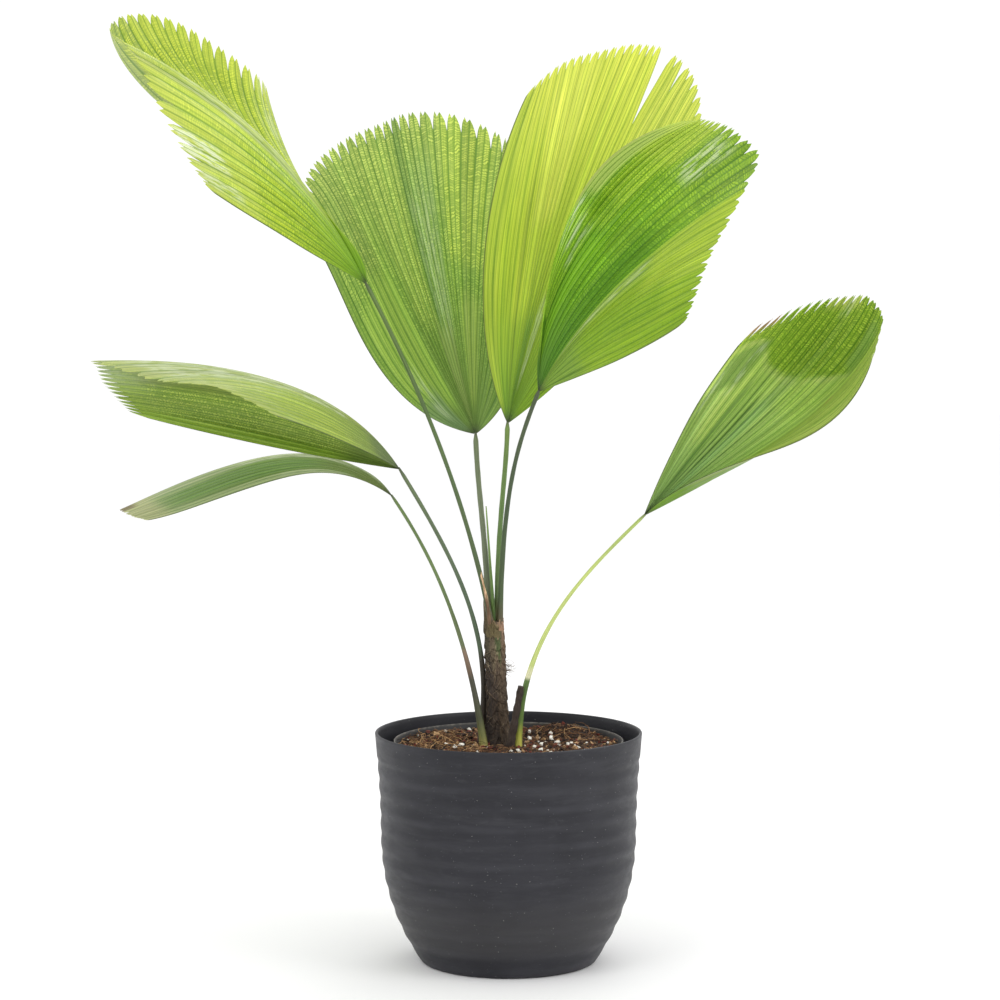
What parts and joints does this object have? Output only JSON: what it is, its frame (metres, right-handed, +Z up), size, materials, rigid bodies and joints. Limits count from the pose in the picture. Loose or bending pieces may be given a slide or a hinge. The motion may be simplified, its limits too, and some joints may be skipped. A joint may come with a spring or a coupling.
{
  "type": "potted ruffled fan palm",
  "caption": "Young ruffled fan palm with pleated, toothed fan fronds on slender stalks, growing from a short fibrous trunk in a round ribbed planter.",
  "frame": {"origin": "centre of the planter's flat underside, on the surface that it stands on", "axes": "+X to the right and +Y to the back as seen from the front, +Z up"},
  "size_m": [0.7256, 0.4959, 0.8767],
  "materials": {
    "pot_plastic": "satin charcoal with fine pale specks",
    "liner_plastic": "thin dark moulded plastic",
    "potting_mix": "loose coir and bark with white perlite",
    "trunk_fibre": "rough brown leaf-base fibre",
    "dead_sheath": "dry papery brown",
    "stalk_green": "smooth satin green stalk",
    "blade_green": "pleated leaf, satin, from deep green to lime"
  },
  "bodies": {
    "root": {"outer_pot": "pot_plastic", "grower_pot": "liner_plastic", "potting_soil": "potting_mix", "trunk": "trunk_fibre", "old_stub": "trunk_fibre", "old_sheath": "dead_sheath", "spear_leaf": "stalk_green", "stalk_upper_left": "stalk_green", "blade_upper_left": "blade_green", "stalk_back": "stalk_green", "blade_back": "blade_green", "stalk_top": "stalk_green", "blade_top": "blade_green", "stalk_upper_right": "stalk_green", "blade_upper_right": "blade_green", "stalk_lower_right": "stalk_green", "blade_lower_right": "blade_green", "stalk_left": "stalk_green", "blade_left": "blade_green", "stalk_low_left": "stalk_green", "blade_low_left": "blade_green"}
  },
  "joints": []
}
